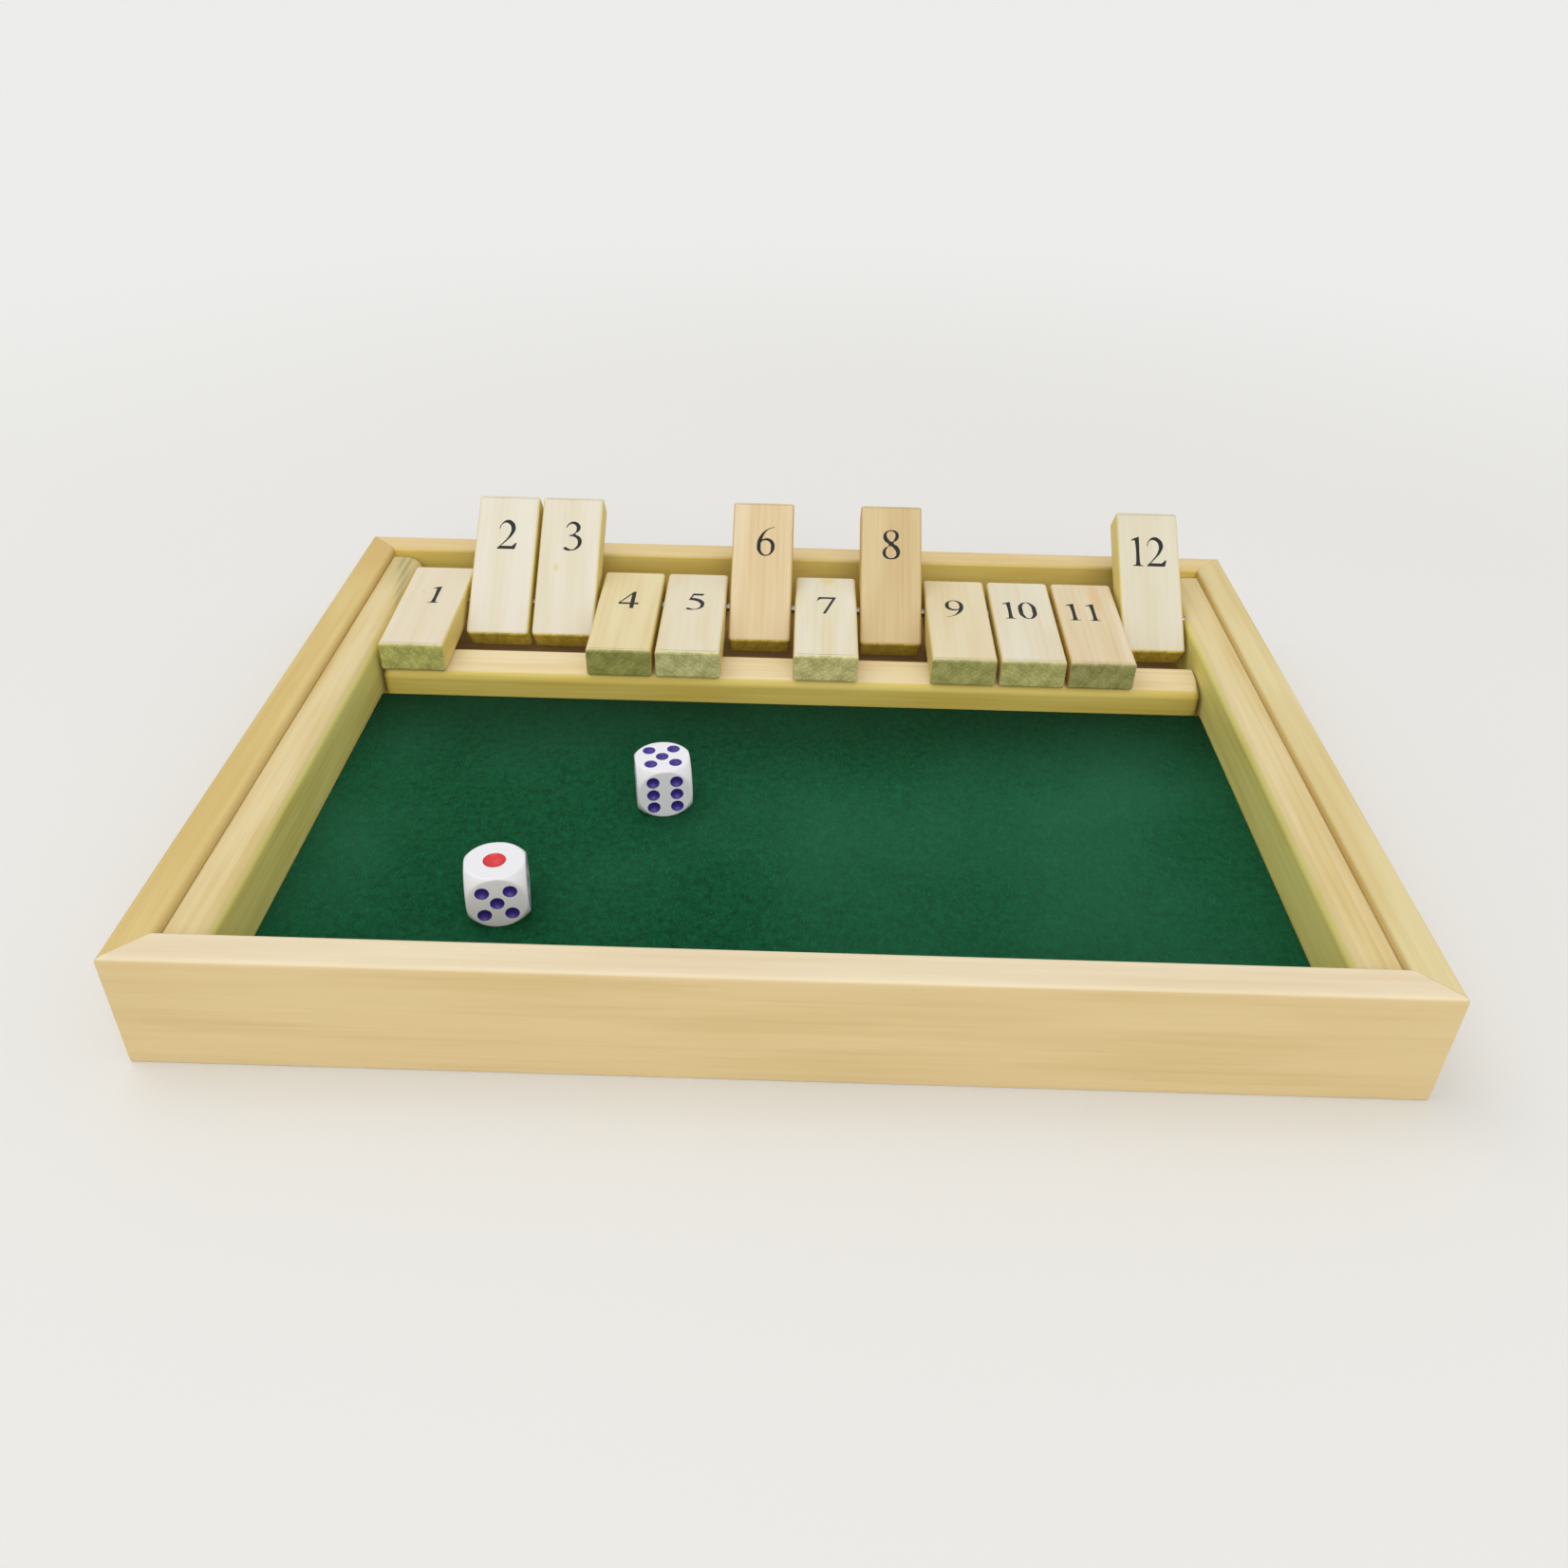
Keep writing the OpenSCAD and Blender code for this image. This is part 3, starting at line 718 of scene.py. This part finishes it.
def printedInk():
    # screen-printed black: thin, matt, with the wood's grain breaking it up a little
    material, tree = newMaterial("printed ink")
    where = addNode(tree, "ShaderNodeTexCoord").outputs["Object"]
    grain = addNode(tree, "ShaderNodeTexNoise", {"Vector": where, "Scale": noiseScale(inkLook["grain"]),
                    "Detail": 3.0}).outputs[0]
    share = addNode(tree, "ShaderNodeMapRange", {"Value": grain, "From Min": 0.45, "From Max": 0.8,
                    "To Max": 0.45}).outputs[0]
    tone = addNode(tree, "ShaderNodeMix", {0: share, 6: hexColour(inkLook["colour"]),
                   7: hexColour(inkLook["worn"])}, data_type="RGBA").outputs[2]
    surface = addNode(tree, "ShaderNodeBsdfPrincipled", {"Base Color": tone, "Roughness": 0.72,
                      "IOR": 1.45})
    addNode(tree, "ShaderNodeOutputMaterial", {"Surface": surface.outputs[0]})
    return material


def makeNumber(text, name):
    curve = bpy.data.curves.new(name, "CURVE")
    curve.dimensions, curve.fill_mode, curve.resolution_u = "2D", "BOTH", 10
    curve.extrude = inkLook["proud"]
    size = inkLook["height"]
    for at, digit in enumerate(text):
        turned = digit == "9"  # a nine is a six turned round
        for outline in digitOutlines["6" if turned else digit]:
            words = outline.split()
            points = [(words[i], float(words[i + 1]), float(words[i + 2]))
                      for i in range(0, len(words), 3)]
            spline = curve.splines.new("BEZIER")
            spline.bezier_points.add(len(points) - 1)
            spline.use_cyclic_u = True
            for point, (kind, x, y) in zip(spline.bezier_points, points):
                if turned:
                    x, y = inkLook["sixWidth"] - x, 1 - y
                point.co = ((x + at * inkLook["advance"]) * size, y * size, 0)
                point.handle_left_type = point.handle_right_type = "VECTOR" if kind == "v" else "AUTO"
    number = bpy.data.objects.new(name, curve)
    bpy.context.collection.objects.link(number)
    makeActive(number)
    bpy.ops.object.convert(target="MESH")
    number = bpy.context.object
    xs = [corner.co.x for corner in number.data.vertices]
    number.location = (-(min(xs) + max(xs)) / 2, -size / 2, 0)
    return applyPlace(number, name)


ink = printedInk()
faceTurns = {  # across the tile, up the number, out of the face
    "raised": Matrix(((1, 0, 0), (0, 0, 1), (0, -1, 0))).transposed().to_4x4(),
    "lowered": Matrix(((1, 0, 0), (0, 0, -1), (0, 1, 0))).transposed().to_4x4(),
}
for number in tileBoards:
    for side, faceTurn in faceTurns.items():
        printed = makeNumber(str(number), "number_%d_%s" % (number, side))
        out = -1 if side == "raised" else 1
        shift = inkLook["shifts"].get(number, 0) * mm
        spot = Matrix.Translation((shift, out * tileLook["thick"] / 2, inkLook[side + "Up"]))
        printed.matrix_world = tilePlaces[number] @ spot @ faceTurn
        applyPlace(printed, printed.name)
        makeActive(printed)
        bpy.ops.object.mode_set(mode="EDIT")
        bpy.ops.mesh.select_all(action="SELECT")
        bpy.ops.mesh.remove_doubles(threshold=weldGap)
        bpy.ops.object.mode_set(mode="OBJECT")
        dress(printed, ink)
        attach(printed, "tile_%d" % number)
print("numbers done")


# dice: a cube cut by a ball, with recessed pips
diceLook = {
    "side": 18.0 * mm, "ball": 12.6 * mm, "voxel": 0.3 * mm, "tumbling": 14, "tumble": 0.5,
    "pip": 4.2 * mm, "ace": 6.8 * mm, "bowl": 0.62,  # a pip's width, and its bowl's radius as a share of it
    "out": 4.0 * mm, "sixOut": (3.8 * mm, 4.8 * mm), "haze": 2.38 * mm,
    "acrylic": ("#EAE9EE", "#E2E2E8", 0.28, 0.06),  # two tones, roughness and its spread
    "blue": ("#3A2890", "#301F7C", 0.40, 0.05),
    "red": ("#D9363C", "#CC2C34", 0.38, 0.05),
    "places": {"die_1": (-84.3, -80.1, 10.8, 0), "die_2": (-40.9, -23.2, 10.1, -90)},  # mm, mm, turn, roll
}


def gloss(name, first, second, roughness, spread):
    # polished acrylic dice and the enamel in their pips: bright, hard, with faint handling haze
    material, tree = newMaterial(name)
    where = addNode(tree, "ShaderNodeTexCoord").outputs["Object"]
    haze = addNode(tree, "ShaderNodeTexNoise", {"Vector": where, "Scale": noiseScale(diceLook["haze"]),
                   "Detail": 3.0}).outputs[0]
    tone = addNode(tree, "ShaderNodeMix", {0: haze, 6: hexColour(first), 7: hexColour(second)},
                   data_type="RGBA").outputs[2]
    dull = addNode(tree, "ShaderNodeMapRange", {"Value": haze, "To Min": roughness - spread,
                   "To Max": roughness + spread}).outputs[0]
    surface = addNode(tree, "ShaderNodeBsdfPrincipled", {"Base Color": tone, "Roughness": dull,
                      "IOR": 1.49})
    addNode(tree, "ShaderNodeOutputMaterial", {"Surface": surface.outputs[0]})
    return material


whiteAcrylic = gloss("polished white acrylic", *diceLook["acrylic"])
blueEnamel = gloss("blue-violet enamel", *diceLook["blue"])
redEnamel = gloss("red enamel", *diceLook["red"])


# balls that sink bowls of this width into the faces; each spot is a face's turn, x and y
def makePipTool(spots, across, material):
    bowl = diceLook["bowl"] * across
    lift = math.sqrt(bowl ** 2 - across ** 2 / 4)
    balls = []
    for turn, x, y in spots:
        deselectAll()
        bpy.ops.mesh.primitive_uv_sphere_add(segments=40, ring_count=24, radius=bowl)
        ball = bpy.context.object
        ball.matrix_world = turn @ Matrix.Translation((x, y, diceLook["side"] / 2 + lift))
        balls.append(applyPlace(ball, "pipTool"))
    deselectAll()
    for ball in balls:
        ball.select_set(True)
    bpy.context.view_layer.objects.active = balls[0]
    if len(balls) > 1:
        bpy.ops.object.join()
    tool = bpy.context.object
    dress(tool, material)
    return tool


def makeDie():
    half = diceLook["side"] / 2
    die = addBlock("dieBlock", (-half,) * 3, (half,) * 3)
    deselectAll()
    bpy.ops.mesh.primitive_uv_sphere_add(segments=96, ring_count=64, radius=diceLook["ball"])
    cutWith(die, bpy.context.object, "INTERSECT")
    makeActive(die)
    even = die.modifiers.new("even", "REMESH")
    even.mode, even.voxel_size = "VOXEL", diceLook["voxel"]
    bpy.ops.object.modifier_apply(modifier=even.name)
    tumbled = die.modifiers.new("tumbled", "SMOOTH")
    tumbled.factor, tumbled.iterations = diceLook["tumble"], diceLook["tumbling"]
    bpy.ops.object.modifier_apply(modifier=tumbled.name)
    dress(die, whiteAcrylic)
    out, (wide, tall) = diceLook["out"], diceLook["sixOut"]
    quarter = math.pi / 2
    top, under = Matrix.Identity(4), Matrix.Rotation(math.pi, 4, "X")
    front, back = Matrix.Rotation(quarter, 4, "X"), Matrix.Rotation(-quarter, 4, "X")
    right, left = Matrix.Rotation(quarter, 4, "Y"), Matrix.Rotation(-quarter, 4, "Y")
    four = [(-out, -out), (-out, out), (out, -out), (out, out)]
    pips = [(front, x, y) for x, y in four + [(0, 0)]]
    pips += [(back, -out, out), (back, out, -out)]
    pips += [(right, -out, out), (right, 0, 0), (right, out, -out)]
    pips += [(left, x, y) for x, y in four]
    pips += [(under, x, y) for x in (-wide, wide) for y in (-tall, 0, tall)]
    cutWith(die, makePipTool(pips, diceLook["pip"], blueEnamel))
    cutWith(die, makePipTool([(top, 0, 0)], diceLook["ace"], redEnamel))
    return die


dieBlock = makeDie()
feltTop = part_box("felt_lining")[1].z
for node, (x, y, turn, roll) in diceLook["places"].items():
    die = duplicatePiece(dieBlock, node + "_acrylic")
    die.matrix_world = (Matrix.Translation((x * mm, y * mm, feltTop + diceLook["side"] / 2))
                        @ Matrix.Rotation(math.radians(turn), 4, "Z")
                        @ Matrix.Rotation(math.radians(roll), 4, "X"))
    applyPlace(die, node + "_acrylic")
    shadeClean(die, 35)
    standFor(die, node, node)
bpy.data.objects.remove(dieBlock, do_unlink=True)
print("dice done")


# stage: pale floor, soft lamps, camera at the photograph's angle
stageLook = {
    "floorRadius": 8.0, "paper": "#E6E6E5", "paperDark": "#E3E3E2", "cloud": 333 * mm,
    "backdrop": "#EDEDEB", "fade": (320 * mm, 900 * mm), "world": "#FBFAF8", "worldStrength": 0.74,
    "cameraPlace": (2.5 * mm, -382.5 * mm, 273.5 * mm), "cameraTurn": (55.21, -1.083, 1.30),
    "lens": 30.4, "sensor": 36, "clipStart": 10 * mm,
    "lamps": {  # place, target, size, watts, colour
        "overhead": ((-1.10, 0.60, 2.60), (0, 0, 0), 2.0, 17.0, "#FFFEFB"),
        "front": ((0.40, -2.50, 1.80), (0, 0, 0), 2.2, 34.0, "#FFFDF9"),
    },
}


# share of the rays that see the backdrop: the camera's, and those that gloss and glass send out
def seenDirectly(tree):
    path = addNode(tree, "ShaderNodeLightPath").outputs
    seen = addNode(tree, "ShaderNodeMath", {0: path["Is Camera Ray"], 1: path["Is Glossy Ray"]},
                   operation="MAXIMUM").outputs[0]
    return addNode(tree, "ShaderNodeMath", {0: seen, 1: path["Is Transmission Ray"]},
                   operation="MAXIMUM").outputs[0]


def paperFloor():
    # matt white paper, very slightly uneven; it keeps the shadows near the tray and fades to the backdrop
    material, tree = newMaterial("matt background paper")
    where = addNode(tree, "ShaderNodeTexCoord").outputs["Object"]
    uneven = addNode(tree, "ShaderNodeTexNoise", {"Vector": where, "Scale": noiseScale(stageLook["cloud"]),
                     "Detail": 1.0}).outputs[0]
    tone = addNode(tree, "ShaderNodeMix", {0: uneven, 6: hexColour(stageLook["paper"]),
                   7: hexColour(stageLook["paperDark"])}, data_type="RGBA").outputs[2]
    paper = addNode(tree, "ShaderNodeBsdfPrincipled", {"Base Color": tone, "Roughness": 0.9,
                    "Specular IOR Level": 0.2})
    backdrop = addNode(tree, "ShaderNodeEmission", {"Color": hexColour(stageLook["backdrop"])})
    away = addNode(tree, "ShaderNodeVectorMath", {0: where}, operation="LENGTH").outputs["Value"]
    fadeFrom, fadeTo = stageLook["fade"]
    fade = addNode(tree, "ShaderNodeMapRange", {"Value": away, "From Min": fadeFrom, "From Max": fadeTo},
                   interpolation_type="SMOOTHSTEP").outputs[0]
    fade = addNode(tree, "ShaderNodeMath", {0: fade, 1: seenDirectly(tree)}, operation="MULTIPLY").outputs[0]
    surface = addNode(tree, "ShaderNodeMixShader", {0: fade, 1: paper.outputs[0], 2: backdrop.outputs[0]})
    addNode(tree, "ShaderNodeOutputMaterial", {"Surface": surface.outputs[0]})
    return material


deselectAll()
bpy.ops.mesh.primitive_circle_add(vertices=96, radius=stageLook["floorRadius"], fill_type="NGON")
floor = applyPlace(bpy.context.object, "studio_floor")
dress(floor, paperFloor())
floor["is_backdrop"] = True

world = bpy.data.worlds.new("studio")
bpy.context.scene.world = world
world.use_nodes = True
tree = world.node_tree
tree.nodes.clear()
light = addNode(tree, "ShaderNodeBackground", {"Color": hexColour(stageLook["world"]),
                "Strength": stageLook["worldStrength"]})
backdrop = addNode(tree, "ShaderNodeBackground", {"Color": hexColour(stageLook["backdrop"])})
sky = addNode(tree, "ShaderNodeMixShader", {0: seenDirectly(tree), 1: light.outputs[0],
              2: backdrop.outputs[0]})
addNode(tree, "ShaderNodeOutputWorld", {"Surface": sky.outputs[0]})

for name, (place, target, size, watts, colour) in stageLook["lamps"].items():
    deselectAll()
    bpy.ops.object.light_add(type="AREA", location=place)
    lamp = bpy.context.object
    lamp.name = name
    lamp.data.shape, lamp.data.size, lamp.data.energy = "SQUARE", size, watts
    lamp.data.color = hexColour(colour)[:3]
    lamp.rotation_euler = (Vector(target) - Vector(place)).to_track_quat("-Z", "Y").to_euler()

bpy.ops.object.camera_add(location=stageLook["cameraPlace"],
                          rotation=[math.radians(a) for a in stageLook["cameraTurn"]])
camera = bpy.context.object
camera.data.lens = stageLook["lens"]
camera.data.sensor_width = stageLook["sensor"]
camera.data.clip_start = stageLook["clipStart"]
bpy.context.scene.camera = camera
bpy.context.scene.view_settings.view_transform = "Standard"
print("stage done")

low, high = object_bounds()
